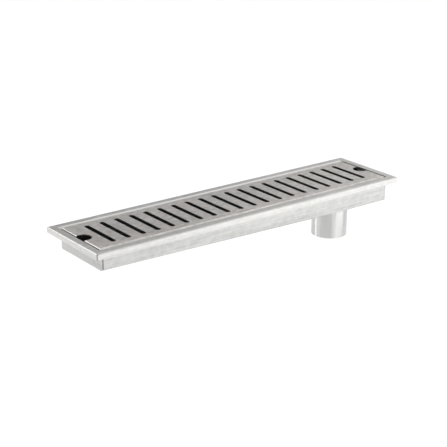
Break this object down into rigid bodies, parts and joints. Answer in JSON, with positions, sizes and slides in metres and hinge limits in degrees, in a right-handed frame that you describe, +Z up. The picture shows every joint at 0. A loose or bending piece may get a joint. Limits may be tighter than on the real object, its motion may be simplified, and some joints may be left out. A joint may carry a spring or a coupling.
{
  "type": "linear floor drain",
  "caption": "Long stainless channel drain with a lift-out slotted grate, a round bottom outlet and a strainer over a self-closing odour trap.",
  "frame": {"origin": "middle of the grate's top face, which is level with the rim and with the finished floor", "axes": "+X along the drain towards the outlet, +Y across it, +Z up"},
  "size_m": [0.5, 0.117, 0.085],
  "materials": {
    "brushed_steel": "brushed stainless steel",
    "grained_steel": "brushed stainless steel, with its grain across the grate",
    "trap_plastic": "dark grey moulded plastic",
    "rubber": "black rubber"
  },
  "bodies": {
    "channel": {"rim_frame": "brushed_steel", "channel_tray": "brushed_steel", "end_wall_left": "brushed_steel", "end_wall_right": "brushed_steel", "outlet_pipe": "brushed_steel", "rest_bracket_front_1": "brushed_steel", "rest_bracket_front_2": "brushed_steel", "rest_bracket_front_3": "brushed_steel", "rest_bracket_back_1": "brushed_steel", "rest_bracket_back_2": "brushed_steel", "rest_bracket_back_3": "brushed_steel", "rest_pad_front_1": "rubber", "rest_pad_front_2": "rubber", "rest_pad_front_3": "rubber", "rest_pad_back_1": "rubber", "rest_pad_back_2": "rubber", "rest_pad_back_3": "rubber"},
    "grate": {"grate_plate": "grained_steel", "grate_stiffener_1": "brushed_steel", "grate_stiffener_2": "brushed_steel", "grate_stiffener_3": "brushed_steel", "grate_stiffener_4": "brushed_steel"},
    "basket": {"strainer_basket": "brushed_steel", "basket_knob": "brushed_steel"},
    "trap": {"trap_body": "trap_plastic", "trap_gasket": "rubber", "stem_guide": "trap_plastic", "valve_spring": "brushed_steel"},
    "valve": {"valve_stem": "brushed_steel", "stem_cap": "trap_plastic", "valve_seal": "rubber", "valve_disc": "trap_plastic"}
  },
  "joints": [
    {"name": "grate_lift", "type": "slide", "parent": "channel", "child": "grate", "axis": [0, 0, 1], "range_m": [0, 0.15]},
    {"name": "basket_lift", "type": "slide", "parent": "channel", "child": "basket", "axis": [0, 0, 1], "range_m": [0, 0.12]},
    {"name": "trap_lift", "type": "slide", "parent": "channel", "child": "trap", "axis": [0, 0, 1], "range_m": [0, 0.09]},
    {"name": "valve_open", "type": "slide", "parent": "trap", "child": "valve", "axis": [0, 0, -1], "range_m": [0, 0.0035], "stiffness_N_per_m": 30, "springref_m": -0.012, "deforming": ["valve_spring"]}
  ],
  "couplings": [
    {"joint": "basket_lift", "follows": "grate_lift", "ratio": 0.8},
    {"joint": "trap_lift", "follows": "grate_lift", "ratio": 0.6}
  ]
}
